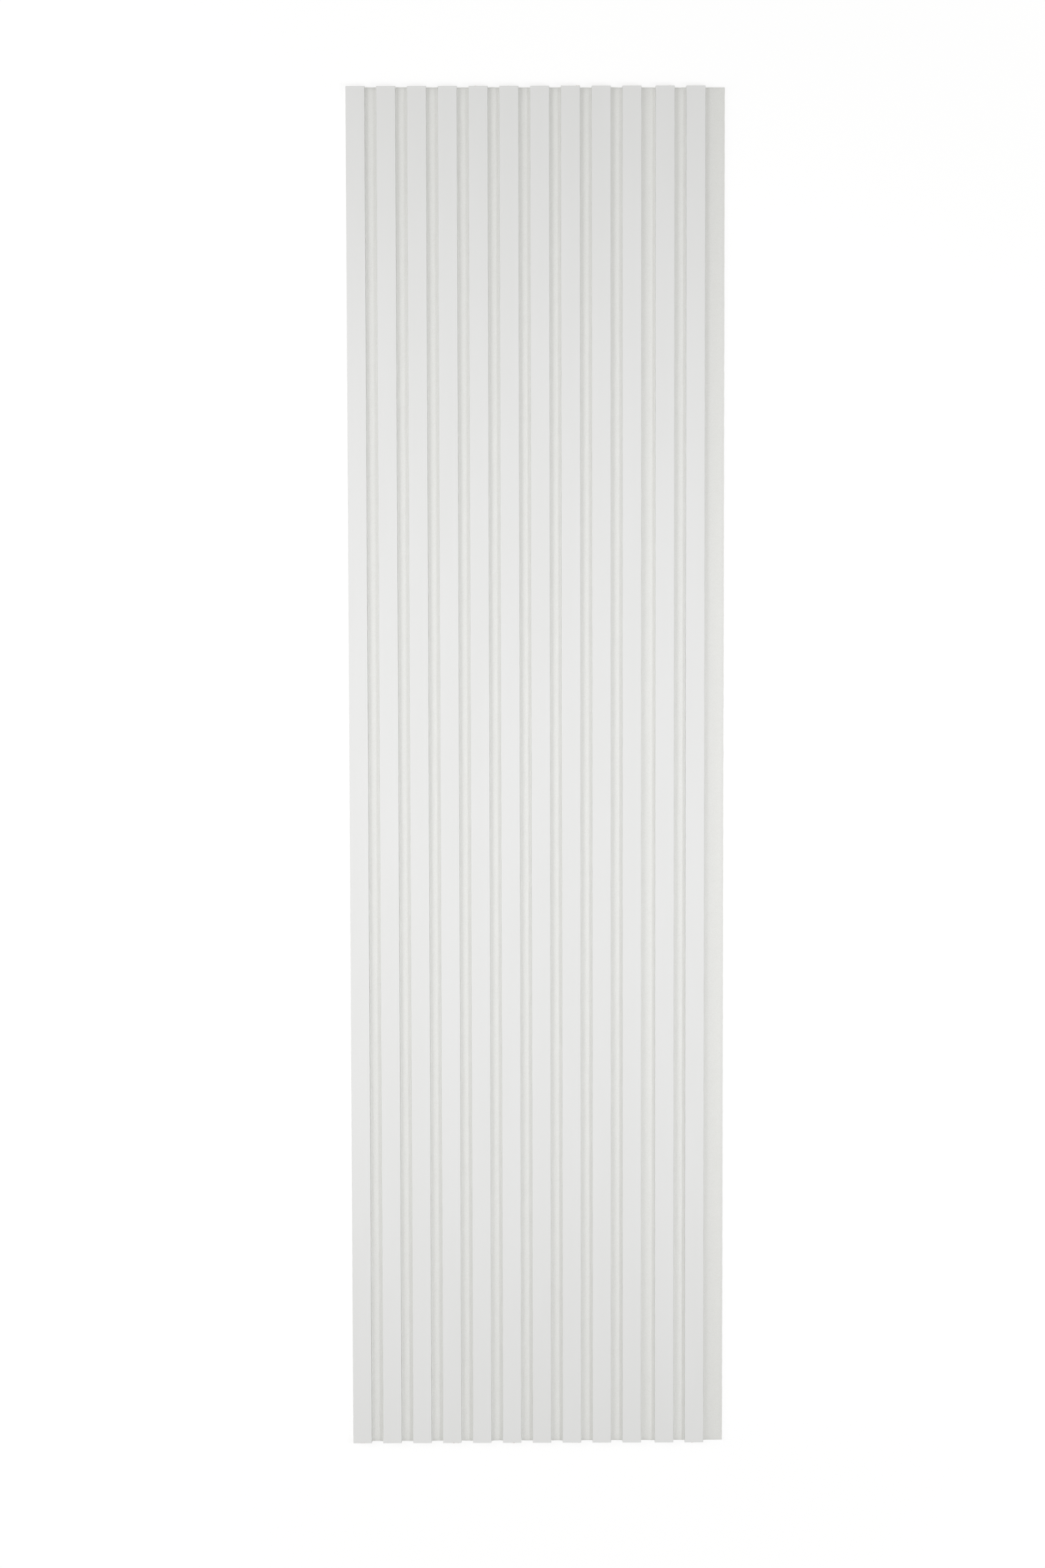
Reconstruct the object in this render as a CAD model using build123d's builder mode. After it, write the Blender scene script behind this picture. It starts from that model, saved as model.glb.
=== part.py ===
from build123d import *
import os

# Slat wall panel, lying on its back with its face up. Sizes are in millimetres.
# X runs across the slats, Y runs along them and Z is up, out of the panel's face.
# The origin is the middle of the back face, where the panel meets the wall.

# Sizes of the whole panel
panel_length = 2175.0
slat_count = 12

# The slats: wood fibre strips wrapped in a smooth white film, glued to the felt
slat_width = 30.0
slat_thickness = 12.0
slat_front_radius = 0.5

# The spacing: even gaps, and one wider gap, counted from the left edge
slat_gap = 18.6
wide_gap = 22.5
wide_gap_number = 10

# The backing: one mat of pressed felt, bare in a strip beyond the last slat
felt_thickness = 9.0
flange_width = 31.5

# The gaps from left to right, and the width that they give the panel
gaps = [wide_gap if number == wide_gap_number else slat_gap for number in range(1, slat_count)]
panel_width = slat_count * slat_width + sum(gaps) + flange_width
left_edge = -panel_width / 2


def slat_middle(number):
    """X of the middle of a slat: past the slats and the gaps to its left."""
    return left_edge + (number - 0.5) * slat_width + sum(gaps[: number - 1])


def finish(piece, name):
    """Name a finished piece and write it to its own file."""
    piece.part.label = name
    export_step(piece.part, f"parts/{name}.step")


os.makedirs("parts", exist_ok=True)

# Backing felt: a flat mat with square-cut edges, as long as the slats
with BuildPart() as backing_felt:
    with BuildSketch(Plane.XY):
        Rectangle(panel_width, panel_length)
    extrude(amount=felt_thickness)

finish(backing_felt, "backing_felt")

# Slats: a section with rounded front arrises, run along the panel and sawn square at both ends
for number in range(1, slat_count + 1):
    seat = Plane(origin=(slat_middle(number), 0, felt_thickness), x_dir=(1, 0, 0), z_dir=(0, -1, 0))

    with BuildPart() as slat:
        with BuildSketch(seat) as section:
            Rectangle(slat_width, slat_thickness, align=(Align.CENTER, Align.MIN))
            fillet(section.vertices().group_by(Axis.Y)[-1], radius=slat_front_radius)
        extrude(amount=panel_length / 2, both=True)

    finish(slat, f"slat_{number:02d}")
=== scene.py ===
"""Finishes the slat wall panel: satin film, pressed felt, and a plain white studio."""
import math

import bpy
from bpy.props import FloatProperty, FloatVectorProperty, IntProperty, PointerProperty
from mathutils import Euler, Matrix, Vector, noise


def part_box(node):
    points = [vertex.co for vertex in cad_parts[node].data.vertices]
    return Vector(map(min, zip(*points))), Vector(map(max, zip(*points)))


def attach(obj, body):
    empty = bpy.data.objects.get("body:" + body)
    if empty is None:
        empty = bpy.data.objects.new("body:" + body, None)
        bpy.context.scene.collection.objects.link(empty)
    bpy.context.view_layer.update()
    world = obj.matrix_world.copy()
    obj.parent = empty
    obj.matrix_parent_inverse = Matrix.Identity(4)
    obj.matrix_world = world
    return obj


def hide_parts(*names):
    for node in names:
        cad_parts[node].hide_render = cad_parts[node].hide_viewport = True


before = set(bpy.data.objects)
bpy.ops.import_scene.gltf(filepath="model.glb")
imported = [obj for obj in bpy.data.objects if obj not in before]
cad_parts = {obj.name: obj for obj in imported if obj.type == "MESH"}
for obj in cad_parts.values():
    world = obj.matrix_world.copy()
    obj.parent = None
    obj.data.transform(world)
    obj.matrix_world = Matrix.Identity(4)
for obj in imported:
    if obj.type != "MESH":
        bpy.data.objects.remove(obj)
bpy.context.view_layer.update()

bl_info = {
    "name": "Slat Wall Panel Finish",
    "version": (1, 0, 0),
    "blender": (4, 5, 0),
    "location": "3D View > Sidebar > Slat Panel",
    "description": "Finishes a white slat wall panel and lights it in a plain studio",
    "category": "Object",
}

BODY = "root"
FELT_NODE = "backing_felt"
SLAT_NODES = sorted(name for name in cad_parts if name.startswith("slat_"))

# The frame's own sizes, in metres: the felt's box, and each slat's low and high corner
FELT_LOW, FELT_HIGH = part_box(FELT_NODE)
SLAT_BOXES = [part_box(name) for name in SLAT_NODES]
SLAT_WIDTH = SLAT_BOXES[0][1].x - SLAT_BOXES[0][0].x
SLAT_THICKNESS = SLAT_BOXES[0][1].z - SLAT_BOXES[0][0].z
PANEL_LENGTH = FELT_HIGH.y - FELT_LOW.y

# Places across the panel closer than this, in metres, are the same place
SAME_PLACE = 1e-6

# The film and the board, in metres: how the detail is spaced, and how deep the saw's marks are
DRIFT_SIZE = 0.05
BOARD_FIBRE_SIZE = 0.0004
BOARD_CLUMP_SIZE = 0.0025
CHIP_SPACING = 0.007
GLOSS_SPACING = 0.012
SAW_MARK_DEPTH = 0.0001

# How much the gloss varies, and how rough the bare board is
GLOSS_RANGE = 0.08
BOARD_ROUGHNESS = 0.9

# The felt's fibres: which ways they lie in degrees, and in metres how their lines bend
FIBRE_ANGLES = (0.0, 60.0, 120.0)
FIBRE_TURN = 17.0
STIR_SIZE = 0.006
STIR_REACH = 0.003

# The felt's cut edges: how their layers and fuzz are spaced in metres, and how much of the
# fibres' bend the layers take
LAYER_SIZE = 0.0004
FUZZ_SIZE = 0.0005
EDGE_BEND = 0.2

# The felt's broad clouding is this many times the size of the fine
BROAD_MOTTLE = 8

# Where each noise goes over from none to all of its effect
DRIFT_STEP = (0.3, 0.7)
GRAIN_STEP = (0.35, 0.65)
CHIP_STEP = (0.56, 0.74)
FIBRE_STEP = (0.5, 0.72)
FELT_STEP = (0.25, 0.62)

# How squarely a face has to look along the slat to be sawn board, and upward not to be cut felt
SAWN_STEP = (0.6, 0.8)
CUT_STEP = (0.75, 0.35)

# The first noise's share where two are added: the board's fibres and clumps, the felt's fine and
# broad clouding, its clouding and fibres, and its layers and fuzz
BOARD_FIBRE_SHARE = 0.7
FINE_SHARE = 0.85
CLOUDING_SHARE = 0.7
LAYER_SHARE = 0.55

# The felt's soft gloss: how rough it is, how much rougher its fibres are, how strong it is, and
# the sheen's strength and roughness
FELT_ROUGHNESS = 0.5
FIBRE_ROUGHNESS = 0.1
FELT_SPECULAR = 0.4
FELT_SHEEN = 0.08
SHEEN_ROUGHNESS = 0.5

# Noise is drawn out along the slats in the film, and along the layers in the felt's cut edges
DRAWN_OUT = 0.16

# The felt mesh's rounded edges: stations as shares of the softness, how many softnesses stay clear
# inside them, how full the rounding is, and the levels of the rings round the rim, from the back
# (0) to the face (1)
EDGE_SHARES = (0.12, 0.4, 1.0)
CLEAR_INSIDE = 1.3
ROUNDING = 0.6
RIM_LEVELS = (0.82, 0.6, 0.36, 0.14)

# How the felt wanders, in metres: the spacing along its ends, its right side and its face, and how
# far it moves on from the back to the face. The seeds keep the three apart.
END_WANDER = 0.012
SIDE_WANDER = 0.02
FACE_WANDER = 0.03
DEPTH_WANDER = 0.004
END_SEED, SIDE_SEED, FACE_SEED = 3.0, 9.0, 1.0

# The right side, in shares of the raggedness: how far it wanders, and how far inside it stays
SIDE_SHARE = 0.7
SIDE_INSET = 0.5

# The wandering's finer waves: how fast they fade, how much finer each is, and how many there are
WANDER_FADE = 0.6
WANDER_RATIO = 2.0
WANDER_OCTAVES = 3

# The skew and the wandering fade inward from the ends and the side by this power
EDGE_FADE = 8

# The studio: half the floor's side in metres, the floor's own grey for the light that bounces off
# it, and the camera's sensor in millimetres
FLOOR_HALF = 20.0
FLOOR_GREY = 0.8
SENSOR_SIZE = 36.0

# Each lamp: its place, the place it aims at, its width and height in metres, its power in watts,
# and its colour
COOL_WHITE = (0.962, 0.962, 1.0)
WARM_WHITE = (1.0, 0.99, 0.97)
LAMPS = {
    "overhead_softbox": ((0.0, -0.46, 4.22), (0.0, -0.46, 0.0), (1.1, 1.1), 21.8, COOL_WHITE),
    "overhead_strip": ((0.0, 0.0, 4.2), (0.0, 0.0, 0.0), (0.8, 2.4), 28.9, COOL_WHITE),
    "left_softbox": ((-1.27, 0.28, 2.58), (0.0, 0.28, 0.0), (1.2, 1.0), 18.3, COOL_WHITE),
    "right_softbox": ((1.275, -0.29, 2.92), (0.0, -0.29, 0.0), (0.4, 0.7), 23.8, COOL_WHITE),
    "left_low_softbox": ((-2.9, 0.0, 1.25), (0.0, 0.0, 0.0), (1.0, 3.2), 35.5, WARM_WHITE),
    "right_low_softbox": ((2.3, 0.0, 1.3), (0.0, 0.0, 0.0), (1.0, 0.8), 6.3, COOL_WHITE),
}


# Sizes and colours that a user would change

class SlatFinish(bpy.types.PropertyGroup):
    """The slats' white film and the bare board at their sawn ends."""

    film_colour: FloatVectorProperty(
        name="Film colour",
        description="Colour of the satin white film",
        subtype="COLOR",
        size=3,
        min=0.0,
        max=1.0,
        default=(0.818, 0.821, 0.817),
    )
    film_shade: FloatVectorProperty(
        name="Film shade",
        description="The slightly deeper white that drifts through the film",
        subtype="COLOR",
        size=3,
        min=0.0,
        max=1.0,
        default=(0.806, 0.809, 0.802),
    )
    board_colour: FloatVectorProperty(
        name="Board colour",
        description="Colour of the bare wood fibre at the sawn ends",
        subtype="COLOR",
        size=3,
        min=0.0,
        max=1.0,
        default=(0.42, 0.27, 0.16),
    )
    board_shade: FloatVectorProperty(
        name="Board shade",
        description="The darker fibres in the bare board",
        subtype="COLOR",
        size=3,
        min=0.0,
        max=1.0,
        default=(0.27, 0.16, 0.09),
    )
    roughness: FloatProperty(
        name="Film roughness",
        description="How far the film's gloss is spread: satin is near the middle",
        subtype="FACTOR",
        min=0.0,
        max=1.0,
        default=0.64,
    )
    film_thickness: FloatProperty(
        name="Film thickness",
        description="Thickness of the white film where the sawn ends show it",
        unit="LENGTH",
        default=0.0004,
    )
    peel_size: FloatProperty(
        name="Peel size",
        description="Spacing of the film's fine unevenness",
        unit="LENGTH",
        default=0.0016,
    )
    peel_height: FloatProperty(
        name="Peel height",
        description="Height of the film's fine unevenness",
        unit="LENGTH",
        default=0.000012,
    )
    wave_size: FloatProperty(
        name="Wave size",
        description="Spacing of the board's long shallow waves",
        unit="LENGTH",
        default=0.09,
    )
    wave_height: FloatProperty(
        name="Wave height",
        description="Height of the board's long shallow waves",
        unit="LENGTH",
        default=0.00008,
    )
    chip_length: FloatProperty(
        name="Chip length",
        description="How far the saw has chipped the film back from the ends, at most",
        unit="LENGTH",
        default=0.0005,
    )


class FeltFinish(bpy.types.PropertyGroup):
    """The pressed felt behind the slats."""

    colour: FloatVectorProperty(
        name="Felt colour",
        description="Colour of the pressed fibres",
        subtype="COLOR",
        size=3,
        min=0.0,
        max=1.0,
        default=(0.85, 0.853, 0.829),
    )
    shade: FloatVectorProperty(
        name="Felt shade",
        description="Colour of the thinner, shaded places between the fibres",
        subtype="COLOR",
        size=3,
        min=0.0,
        max=1.0,
        default=(0.787, 0.788, 0.761),
    )
    mottle_size: FloatProperty(
        name="Mottle size",
        description="Spacing of the felt's clouding",
        unit="LENGTH",
        default=0.0013,
    )
    fibre_length: FloatProperty(
        name="Fibre length",
        description="Length of the fibres that show",
        unit="LENGTH",
        default=0.004,
    )
    fibre_width: FloatProperty(
        name="Fibre width",
        description="Width of the fibres that show",
        unit="LENGTH",
        default=0.0003,
    )
    nap_height: FloatProperty(
        name="Nap height",
        description="Height of the fibres in the surface",
        unit="LENGTH",
        default=0.00004,
    )
    unevenness: FloatProperty(
        name="Unevenness",
        description="How far the felt's face dips between the slats",
        unit="LENGTH",
        default=0.0001,
    )
    edge_softness: FloatProperty(
        name="Edge softness",
        description="How far the cut edges are rounded over",
        unit="LENGTH",
        default=0.0005,
    )
    raggedness: FloatProperty(
        name="Raggedness",
        description="How far the cut edges wander",
        unit="LENGTH",
        default=0.0004,
    )
    top_skew: FloatProperty(
        name="Upper cut's skew",
        description="How much further the upper end reaches at the left than at the right",
        unit="LENGTH",
        default=0.0013,
    )
    bottom_skew: FloatProperty(
        name="Lower cut's skew",
        description="How much further the lower end reaches at the left than at the right",
        unit="LENGTH",
        default=0.0006,
    )
    mesh_step: FloatProperty(
        name="Mesh step",
        description="Spacing of the felt's mesh along the panel",
        unit="LENGTH",
        default=0.005,
    )
    groove_columns: IntProperty(
        name="Groove columns",
        description="Mesh columns across each gap between slats",
        min=1,
        default=5,
    )


class StudioSetup(bpy.types.PropertyGroup):
    """The floor, the lamps and the camera."""

    camera_place: FloatVectorProperty(
        name="Camera place",
        description="Where the camera hangs over the panel",
        subtype="TRANSLATION",
        size=3,
        default=(-0.0279, 0.1863, 3.8835),
    )
    camera_turn: FloatVectorProperty(
        name="Camera turn",
        description="The camera's small turns from looking straight down",
        subtype="EULER",
        size=3,
        default=tuple(math.radians(a) for a in (-2.9931, -0.0811, -0.1254)),
    )
    camera_lens: FloatProperty(
        name="Camera lens",
        description="Focal length in millimetres on a 36 mm sensor along the picture's long side",
        unit="CAMERA",
        default=55.449,
    )
    room_light: FloatProperty(
        name="Room light",
        description="Strength of the even light from all round",
        default=0.152,
    )
    room_colour: FloatVectorProperty(
        name="Room colour",
        description="Colour of the even light from all round",
        subtype="COLOR",
        size=3,
        min=0.0,
        max=1.0,
        default=(1.0, 0.99, 0.8),
    )
    floor_glow: FloatProperty(
        name="Floor glow",
        description="Share of the floor's white that no shadow dims near the panel",
        default=0.82,
    )
    glow_near: FloatProperty(
        name="Glow near",
        description="Distance from the panel's middle where the floor's glow starts to rise",
        unit="LENGTH",
        default=1.1,
    )
    glow_far: FloatProperty(
        name="Glow far",
        description="Distance from the panel's middle where the floor is plain white",
        unit="LENGTH",
        default=3.2,
    )
    floor_shadow: FloatProperty(
        name="Floor shadow",
        description="Share of the floor's white that the lamps give, so that shadows show in it",
        default=0.22,
    )


# Small helpers for node trees and lamps

def new_material(name):
    """A material with an empty tree but for its output and one main shader."""
    material = bpy.data.materials.new(name)
    material.use_nodes = True
    tree = material.node_tree
    shader = next(node for node in tree.nodes if node.type == "BSDF_PRINCIPLED")
    return material, tree, shader


def add_node(tree, kind, inputs=(), **settings):
    """A node with its settings and inputs: an input is a value, or another node's socket."""
    node = tree.nodes.new(kind)
    for name, value in settings.items():
        setattr(node, name, value)
    for key, value in dict(inputs).items():
        if isinstance(value, bpy.types.NodeSocket):
            tree.links.new(value, node.inputs[key])
        else:
            node.inputs[key].default_value = value
    return node


def maths(tree, operation, first, second=0.0):
    """The result of one sum."""
    return add_node(tree, "ShaderNodeMath", {0: first, 1: second}, operation=operation).outputs[0]


def vector_maths(tree, operation, inputs):
    """The result of one sum of vectors."""
    return add_node(tree, "ShaderNodeVectorMath", inputs, operation=operation).outputs[0]


def weighted(tree, first, share, second):
    """The first value by its share and the second by the rest, added."""
    part = maths(tree, "MULTIPLY", first, share)
    rest = maths(tree, "MULTIPLY", second, 1.0 - share)
    return maths(tree, "ADD", part, rest)


def mix_values(tree, factor, first, second):
    """Two numbers mixed by a factor. Each is a number or a socket."""
    inputs = {"Factor": factor, "A": first, "B": second}
    return add_node(tree, "ShaderNodeMix", inputs).outputs["Result"]


def coordinates(tree, kind):
    """The object's own place in metres, or its place within its box from 0 to 1."""
    return add_node(tree, "ShaderNodeTexCoord").outputs[kind]


def surface_normal(tree):
    """The surface's normal, as three numbers."""
    normal = add_node(tree, "ShaderNodeNewGeometry").outputs["Normal"]
    return add_node(tree, "ShaderNodeSeparateXYZ", {0: normal})


def scaled(tree, place, scale):
    """A place whose axes are scaled."""
    return add_node(tree, "ShaderNodeMapping", {"Vector": place, "Scale": scale}).outputs[0]


def blend_colours(tree, factor, first, second):
    """Two colours mixed by a factor. Each is a colour or a socket."""
    node = tree.nodes.new("ShaderNodeMix")
    node.data_type = "RGBA"
    values = {"Factor_Float": factor, "A_Color": first, "B_Color": second}
    for name, value in values.items():
        socket = next(s for s in node.inputs if s.identifier == name)
        if isinstance(value, bpy.types.NodeSocket):
            tree.links.new(value, socket)
        else:
            socket.default_value = value if name == "Factor_Float" else (*value, 1.0)
    return next(s for s in node.outputs if s.identifier == "Result_Color")


def noise_at(tree, place, size, detail=2.0, roughness=0.5):
    """Noise from 0 to 1 whose spots are about size metres across."""
    inputs = {"Vector": place, "Scale": 1.0 / size, "Detail": detail, "Roughness": roughness}
    return add_node(tree, "ShaderNodeTexNoise", inputs).outputs["Fac"]


def stepped(tree, value, low, high):
    """0 below low, 1 above high, and a smooth ramp between."""
    inputs = {"Value": value, "From Min": low, "From Max": high}
    node = add_node(tree, "ShaderNodeMapRange", inputs, interpolation_type="SMOOTHSTEP")
    return node.outputs["Result"]


def bump(tree, height, distance, below=None):
    """A bump of that height in metres, on top of another bump if one is given."""
    inputs = {"Height": height, "Distance": distance}
    if below is not None:
        inputs["Normal"] = below
    return add_node(tree, "ShaderNodeBump", inputs).outputs["Normal"]


def area_lamp(name, place, aim, size, power, colour):
    """A softbox at a place, turned to its aim."""
    data = bpy.data.lights.new(name, "AREA")
    data.shape = "RECTANGLE"
    data.size, data.size_y = size
    data.energy = power
    data.color = colour
    lamp = bpy.data.objects.new(name, data)
    lamp.location = place
    lamp.rotation_euler = (Vector(aim) - Vector(place)).to_track_quat("-Z", "Y").to_euler()
    lamp.visible_camera = False
    bpy.context.scene.collection.objects.link(lamp)


# Slats

def slat_material(finish):
    """Satin white film, with bare wood fibre on the sawn ends and in small chips beside them."""
    material, tree, shader = new_material("slat_film")
    place = coordinates(tree, "Object")
    within = add_node(tree, "ShaderNodeSeparateXYZ", {0: coordinates(tree, "Generated")})
    normal = surface_normal(tree)

    # Distances in metres from the slat's sides, front face and ends
    from_left = maths(tree, "MULTIPLY", within.outputs["X"], SLAT_WIDTH)
    from_right = maths(tree, "SUBTRACT", SLAT_WIDTH, from_left)
    from_side = maths(tree, "MINIMUM", from_left, from_right)
    from_back = maths(tree, "MULTIPLY", within.outputs["Z"], SLAT_THICKNESS)
    from_front = maths(tree, "SUBTRACT", SLAT_THICKNESS, from_back)
    from_low_end = maths(tree, "MULTIPLY", within.outputs["Y"], PANEL_LENGTH)
    from_high_end = maths(tree, "SUBTRACT", PANEL_LENGTH, from_low_end)
    from_end = maths(tree, "MINIMUM", from_low_end, from_high_end)

    # The film's white drifts a little along the slat
    stretched = scaled(tree, place, (1.0, DRAWN_OUT, 1.0))
    drift = stepped(tree, noise_at(tree, stretched, DRIFT_SIZE, detail=3.0), *DRIFT_STEP)
    film = blend_colours(tree, drift, finish.film_colour, finish.film_shade)

    # Bare board: fine fibres in clumps
    fibres = noise_at(tree, place, BOARD_FIBRE_SIZE, detail=4.0, roughness=0.7)
    clumps = noise_at(tree, place, BOARD_CLUMP_SIZE, detail=2.0)
    grain = weighted(tree, fibres, BOARD_FIBRE_SHARE, clumps)
    light = stepped(tree, grain, *GRAIN_STEP)
    board = blend_colours(tree, light, finish.board_shade, finish.board_colour)

    # Where the board shows: the sawn ends inside the film, and chips along the ends' front edge
    end_face = stepped(tree, maths(tree, "ABSOLUTE", normal.outputs["Y"]), *SAWN_STEP)
    inside_film = maths(tree, "MINIMUM", from_side, from_front)
    cut_board = maths(tree, "GREATER_THAN", inside_film, finish.film_thickness)
    chip_noise = noise_at(tree, place, CHIP_SPACING, detail=3.0, roughness=0.6)
    chip_share = stepped(tree, chip_noise, *CHIP_STEP)
    chip_reach = maths(tree, "MULTIPLY", chip_share, finish.chip_length)
    chips = maths(tree, "GREATER_THAN", chip_reach, from_end)
    bare = maths(tree, "MAXIMUM", maths(tree, "MULTIPLY", end_face, cut_board), chips)

    tree.links.new(blend_colours(tree, bare, film, board), shader.inputs["Base Color"])

    uneven = maths(tree, "MULTIPLY", noise_at(tree, place, GLOSS_SPACING, detail=3.0), GLOSS_RANGE)
    gloss = maths(tree, "ADD", uneven, finish.roughness - GLOSS_RANGE / 2)
    tree.links.new(mix_values(tree, bare, gloss, BOARD_ROUGHNESS), shader.inputs["Roughness"])

    wave_noise = noise_at(tree, place, finish.wave_size, detail=1.0)
    peel_noise = noise_at(tree, place, finish.peel_size, detail=2.0)
    waves = bump(tree, wave_noise, finish.wave_height)
    peel = bump(tree, peel_noise, finish.peel_height, waves)
    sawn = maths(tree, "MULTIPLY", bare, grain)
    tree.links.new(bump(tree, sawn, SAW_MARK_DEPTH, peel), shader.inputs["Normal"])
    return material


class SLATPANEL_OT_finish_slats(bpy.types.Operator):
    """Give every slat its satin film and sawn ends"""

    bl_idname = "slatpanel.finish_slats"
    bl_label = "Finish slats"

    def execute(self, context):
        material = slat_material(context.scene.slat_finish)
        for name in SLAT_NODES:
            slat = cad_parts[name]
            slat.data.materials.clear()
            slat.data.materials.append(material)
        return {"FINISHED"}


# Backing felt

def covered(x):
    """Whether a slat lies over that place across the panel, or ends there."""
    return any(box[0].x - SAME_PLACE <= x <= box[1].x + SAME_PLACE for box in SLAT_BOXES)


def stations_across(finish):
    """X of the felt mesh's columns: one under each slat, several in each gap and the bare strip."""
    columns = []
    edges = [corner.x for box in SLAT_BOXES for corner in box] + [FELT_HIGH.x]
    for low, high in zip(edges, edges[1:]):
        in_gap = max(finish.groove_columns, round((high - low) / finish.mesh_step))
        count = 1 if covered((low + high) / 2) else in_gap
        columns += [low + (high - low) * i / count for i in range(count)]
    return columns + [FELT_HIGH.x]


def soften_ends(stations, softness):
    """Adds close stations at both ends, for the rounded edge there."""
    low, high = stations[0], stations[-1]
    clear = softness * CLEAR_INSIDE
    inner = [s for s in stations if low + clear < s < high - clear]
    near_low = [low + softness * share for share in EDGE_SHARES]
    near_high = [high - softness * share for share in reversed(EDGE_SHARES)]
    return [low, *near_low, *inner, *near_high, high]


def rounded_drop(distance, softness):
    """How far the face has dropped at a distance from a rounded edge."""
    inward = max(0.0, 1.0 - distance / softness)
    return softness * (1.0 - math.sqrt(max(0.0, 1.0 - inward * inward))) * ROUNDING


def wander(place, size, seed):
    """Smooth chance from about -1 to 1, the same at each run."""
    at = Vector((place[0] / size, place[1] / size, seed))
    return noise.fractal(at, WANDER_FADE, WANDER_RATIO, WANDER_OCTAVES)


def felt_mesh(finish):
    """A closed mat: dipping face, rounded ragged cut edges, and a plain back."""
    softness = finish.edge_softness
    xs = soften_ends(stations_across(finish), softness)
    rows = round(PANEL_LENGTH / finish.mesh_step)
    ys = soften_ends([FELT_LOW.y + PANEL_LENGTH * i / rows for i in range(rows + 1)], softness)
    nx, ny = len(xs), len(ys)
    middle_x = (FELT_LOW.x + FELT_HIGH.x) / 2
    width = FELT_HIGH.x - FELT_LOW.x
    hidden = [covered(x) for x in xs]

    def place(i, j, level):
        """A point of the mat: level is 0 at the back and 1 at the face."""
        x, y = xs[i], ys[j]
        depth = level * DEPTH_WANDER

        # Both ends are cut a little askew, and ragged
        share = (x - middle_x) / width
        end = 1 if y > 0 else -1
        skew = finish.top_skew if end > 0 else finish.bottom_skew
        near_end = (abs(y) / (PANEL_LENGTH / 2)) ** EDGE_FADE
        ragged = finish.raggedness * wander((x, depth), END_WANDER, END_SEED + end)
        y += end * near_end * (ragged - skew * share)

        # The bare right side is ragged too, and keeps inside the mat's width
        near_side = (max(0.0, share) * 2) ** EDGE_FADE
        wave = SIDE_SHARE * wander((ys[j], depth), SIDE_WANDER, SIDE_SEED) - SIDE_INSET
        x += near_side * finish.raggedness * wave

        # The face is rounded over at its edges, and dips where no slat lies on it
        z = FELT_LOW.z + (FELT_HIGH.z - FELT_LOW.z) * level
        if level == 1.0:
            near = min(ys[j] - ys[0], ys[-1] - ys[j], xs[-1] - xs[i])
            z -= rounded_drop(near, softness)
            if not hidden[i]:
                z -= finish.unevenness * (0.5 + 0.5 * wander((x, y), FACE_WANDER, FACE_SEED))
        return x, y, z

    # The face and the back share one grid; the walls run round it in a few levels
    points = [place(i, j, 1.0) for j in range(ny) for i in range(nx)]
    points += [place(i, j, 0.0) for j in range(ny) for i in range(nx)]
    faces = []
    for j in range(ny - 1):
        for i in range(nx - 1):
            a = j * nx + i
            faces.append((a, a + 1, a + nx + 1, a + nx))
            b = a + nx * ny
            faces.append((b, b + nx, b + nx + 1, b + 1))

    rim = [(i, 0) for i in range(nx)] + [(nx - 1, j) for j in range(1, ny)]
    rim += [(i, ny - 1) for i in range(nx - 2, -1, -1)] + [(0, j) for j in range(ny - 2, 0, -1)]
    rings = [[j * nx + i for i, j in rim]]
    for level in RIM_LEVELS:
        rings.append(list(range(len(points), len(points) + len(rim))))
        points += [place(i, j, level) for i, j in rim]
    rings.append([j * nx + i + nx * ny for i, j in rim])
    for upper, lower in zip(rings, rings[1:]):
        for k in range(len(rim)):
            n = (k + 1) % len(rim)
            faces.append((upper[k], lower[k], lower[n], upper[n]))

    mesh = bpy.data.meshes.new("felt_mat")
    mesh.from_pydata(points, [], faces)
    mesh.validate()
    mesh.shade_smooth()
    return mesh


def fibre_streaks(tree, place, finish):
    """Fibres lying three ways across each other, from 0 to 1."""
    found = None
    for angle in FIBRE_ANGLES:
        inputs = {
            "Vector": place,
            "Location": (angle, 0.0, 0.0),
            "Rotation": (0.0, 0.0, math.radians(angle + FIBRE_TURN)),
            "Scale": (1.0, finish.fibre_width / finish.fibre_length, 1.0),
        }
        turned = add_node(tree, "ShaderNodeMapping", inputs).outputs[0]
        streak = noise_at(tree, turned, finish.fibre_width, detail=1.0)
        found = streak if found is None else maths(tree, "MAXIMUM", found, streak)
    return stepped(tree, found, *FIBRE_STEP)


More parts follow.
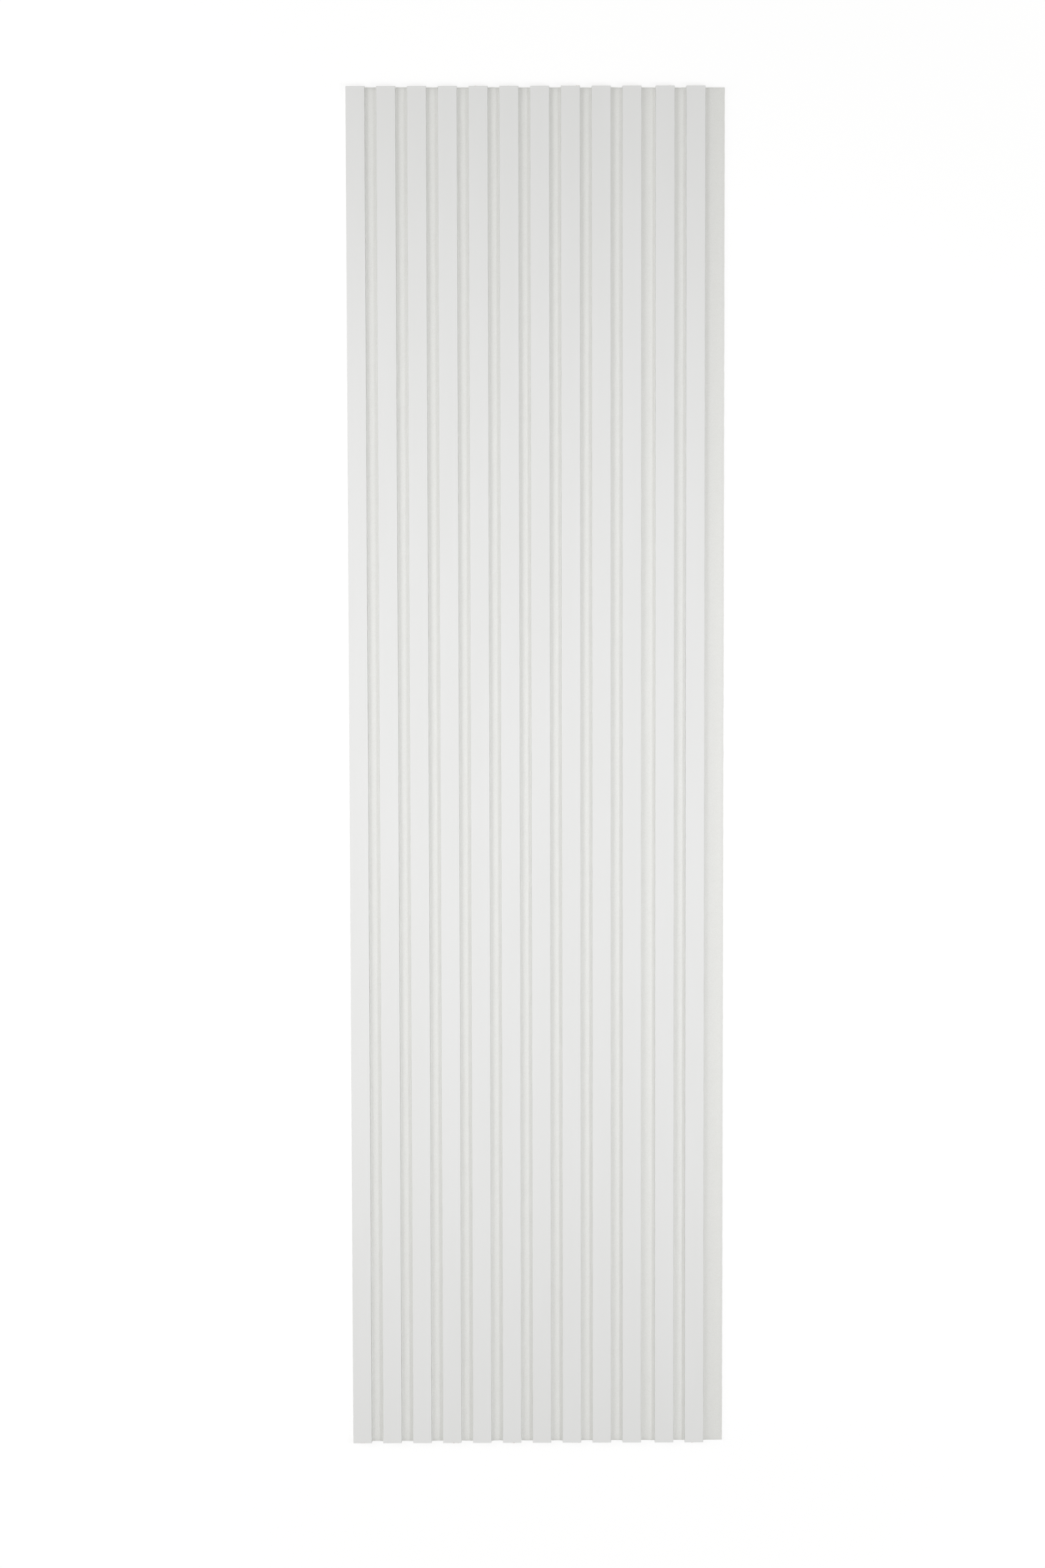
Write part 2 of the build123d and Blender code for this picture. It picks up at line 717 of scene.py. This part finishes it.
def felt_material(finish):
    """Pressed white fibres: fine streaks, soft clouding, and a faint broad gloss."""
    material, tree, shader = new_material("white_felt")
    place = coordinates(tree, "Object")
    normal = surface_normal(tree)

    # The fibres' lines bend, so their place is stirred a little first
    inputs = {"Vector": place, "Scale": 1.0 / STIR_SIZE, "Detail": 1.0}
    stir = add_node(tree, "ShaderNodeTexNoise", inputs).outputs["Color"]
    shift = vector_maths(tree, "SCALE", {0: stir, "Scale": STIR_REACH})
    stirred = vector_maths(tree, "ADD", {0: place, 1: shift})
    fibres = fibre_streaks(tree, stirred, finish)

    # Fine clouding over broad
    cloud = noise_at(tree, place, finish.mottle_size, detail=2.0, roughness=0.6)
    broad = noise_at(tree, place, finish.mottle_size * BROAD_MOTTLE, detail=2.0)
    mottle = weighted(tree, cloud, FINE_SHARE, broad)

    # The cut edges show the mat's thin layers
    bend = vector_maths(tree, "SCALE", {0: shift, "Scale": EDGE_BEND})
    bent = vector_maths(tree, "ADD", {0: place, 1: bend})
    layered = scaled(tree, bent, (DRAWN_OUT, DRAWN_OUT, 1.0))
    strata = noise_at(tree, layered, LAYER_SIZE, detail=3.0, roughness=0.6)
    fuzz = noise_at(tree, place, FUZZ_SIZE, detail=3.0, roughness=0.7)
    layers = weighted(tree, strata, LAYER_SHARE, fuzz)
    edge = stepped(tree, maths(tree, "ABSOLUTE", normal.outputs["Z"]), *CUT_STEP)

    face = weighted(tree, mottle, CLOUDING_SHARE, fibres)
    shown = stepped(tree, mix_values(tree, edge, face, layers), *FELT_STEP)
    colour = blend_colours(tree, shown, finish.shade, finish.colour)
    tree.links.new(colour, shader.inputs["Base Color"])

    rough = maths(tree, "ADD", FELT_ROUGHNESS, maths(tree, "MULTIPLY", fibres, FIBRE_ROUGHNESS))
    tree.links.new(rough, shader.inputs["Roughness"])
    shader.inputs["Specular IOR Level"].default_value = FELT_SPECULAR
    shader.inputs["Sheen Weight"].default_value = FELT_SHEEN
    shader.inputs["Sheen Roughness"].default_value = SHEEN_ROUGHNESS

    soft = bump(tree, mottle, finish.nap_height)
    nap = bump(tree, mix_values(tree, edge, fibres, layers), finish.nap_height, soft)
    tree.links.new(nap, shader.inputs["Normal"])
    return material


class SLATPANEL_OT_make_felt(bpy.types.Operator):
    """Make the pressed felt mat that carries the slats"""

    bl_idname = "slatpanel.make_felt"
    bl_label = "Make backing felt"

    def execute(self, context):
        finish = context.scene.felt_finish
        felt = bpy.data.objects.new("felt_mat", felt_mesh(finish))
        context.scene.collection.objects.link(felt)
        felt.data.materials.append(felt_material(finish))
        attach(felt, BODY)
        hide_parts(FELT_NODE)
        return {"FINISHED"}


# Studio

def seen_rays(tree):
    """1 for what the camera sees, in a gloss or through glass too, and 0 for light's own bounces."""
    path = add_node(tree, "ShaderNodeLightPath")
    seen = maths(tree, "MAXIMUM", path.outputs["Is Camera Ray"], path.outputs["Is Glossy Ray"])
    return maths(tree, "MAXIMUM", seen, path.outputs["Is Transmission Ray"])


def studio_floor(setup):
    """A wide white floor that keeps a faint shadow."""
    mesh = bpy.data.meshes.new("studio_floor")
    signs = ((-1, -1), (1, -1), (1, 1), (-1, 1))
    corners = [(x * FLOOR_HALF, y * FLOOR_HALF, 0.0) for x, y in signs]
    mesh.from_pydata(corners, [], [(0, 1, 2, 3)])
    floor = bpy.data.objects.new("studio_floor", mesh)
    bpy.context.scene.collection.objects.link(floor)

    material, tree, shader = new_material("studio_floor")
    shader.inputs["Base Color"].default_value = (FLOOR_GREY, FLOOR_GREY, FLOOR_GREY, 1.0)
    shader.inputs["Roughness"].default_value = 1.0
    shader.inputs["Specular IOR Level"].default_value = 0.0

    # The glow rises to plain white away from the panel
    place = coordinates(tree, "Object")
    away = add_node(tree, "ShaderNodeVectorMath", {0: place}, operation="LENGTH").outputs["Value"]
    ramp = {
        "Value": away,
        "From Min": setup.glow_near,
        "From Max": setup.glow_far,
        "To Min": setup.floor_glow,
        "To Max": 1.0,
    }
    rising = add_node(tree, "ShaderNodeMapRange", ramp, interpolation_type="SMOOTHSTEP")
    glow = add_node(tree, "ShaderNodeEmission", {"Strength": rising.outputs["Result"]}).outputs[0]

    # The lamps give the rest of the white, so that the panel's shadow shows in it
    grey = (setup.floor_shadow, setup.floor_shadow, setup.floor_shadow, 1.0)
    lit = add_node(tree, "ShaderNodeBsdfDiffuse", {"Color": grey}).outputs[0]
    shown = add_node(tree, "ShaderNodeAddShader", {0: glow, 1: lit}).outputs[0]
    inputs = {0: seen_rays(tree), 1: shader.outputs[0], 2: shown}
    mixed = add_node(tree, "ShaderNodeMixShader", inputs)
    output = next(node for node in tree.nodes if node.type == "OUTPUT_MATERIAL")
    tree.links.new(mixed.outputs[0], output.inputs["Surface"])
    mesh.materials.append(material)


def studio_room(setup):
    """Even light from all round, and plain white where the camera sees past the floor."""
    world = bpy.data.worlds.new("studio_room")
    world.use_nodes = True
    tree = world.node_tree
    background = next(node for node in tree.nodes if node.type == "BACKGROUND")
    seen = seen_rays(tree)
    colour = blend_colours(tree, seen, setup.room_colour, (1.0, 1.0, 1.0))
    tree.links.new(colour, background.inputs["Color"])
    strength = add_node(tree, "ShaderNodeMapRange", {"Value": seen, "To Min": setup.room_light})
    tree.links.new(strength.outputs["Result"], background.inputs["Strength"])
    bpy.context.scene.world = world


def studio_lamps():
    """Two lamps overhead, a softbox on each side, and a low one beyond each of those."""
    for name, (place, aim, size, power, colour) in LAMPS.items():
        area_lamp(name, place, aim, size, power, colour)


def studio_camera(setup):
    """The camera, hung over the panel and turned a little from straight down."""
    data = bpy.data.cameras.new("studio_camera")
    data.sensor_width = SENSOR_SIZE
    data.lens = setup.camera_lens
    camera = bpy.data.objects.new("studio_camera", data)
    camera.location = setup.camera_place
    camera.rotation_euler = Euler(setup.camera_turn)
    bpy.context.scene.collection.objects.link(camera)
    bpy.context.scene.camera = camera


class SLATPANEL_OT_set_stage(bpy.types.Operator):
    """Set the floor, the room, the lamps and the camera"""

    bl_idname = "slatpanel.set_stage"
    bl_label = "Set stage"

    def execute(self, context):
        setup = context.scene.studio_setup
        studio_floor(setup)
        studio_room(setup)
        studio_lamps()
        studio_camera(setup)
        context.scene.view_settings.view_transform = "Standard"
        return {"FINISHED"}


class SLATPANEL_PT_sidebar(bpy.types.Panel):
    """Lists the panel's pieces and its stage"""

    bl_idname = "SLATPANEL_PT_sidebar"
    bl_label = "Slat Wall Panel"
    bl_space_type = "VIEW_3D"
    bl_region_type = "UI"
    bl_category = "Slat Panel"

    def draw(self, context):
        for operator in OPERATORS:
            self.layout.operator(operator.bl_idname)


OPERATORS = (SLATPANEL_OT_set_stage, SLATPANEL_OT_finish_slats, SLATPANEL_OT_make_felt)
GROUPS = {"slat_finish": SlatFinish, "felt_finish": FeltFinish, "studio_setup": StudioSetup}
CLASSES = (*GROUPS.values(), *OPERATORS, SLATPANEL_PT_sidebar)


def register():
    for kind in CLASSES:
        bpy.utils.register_class(kind)
    for name, group in GROUPS.items():
        setattr(bpy.types.Scene, name, PointerProperty(type=group))


def unregister():
    for name in GROUPS:
        delattr(bpy.types.Scene, name)
    for kind in reversed(CLASSES):
        bpy.utils.unregister_class(kind)


def main():
    register()
    bpy.ops.slatpanel.set_stage()
    bpy.ops.slatpanel.finish_slats()
    bpy.ops.slatpanel.make_felt()


if __name__ == "__main__":
    main()
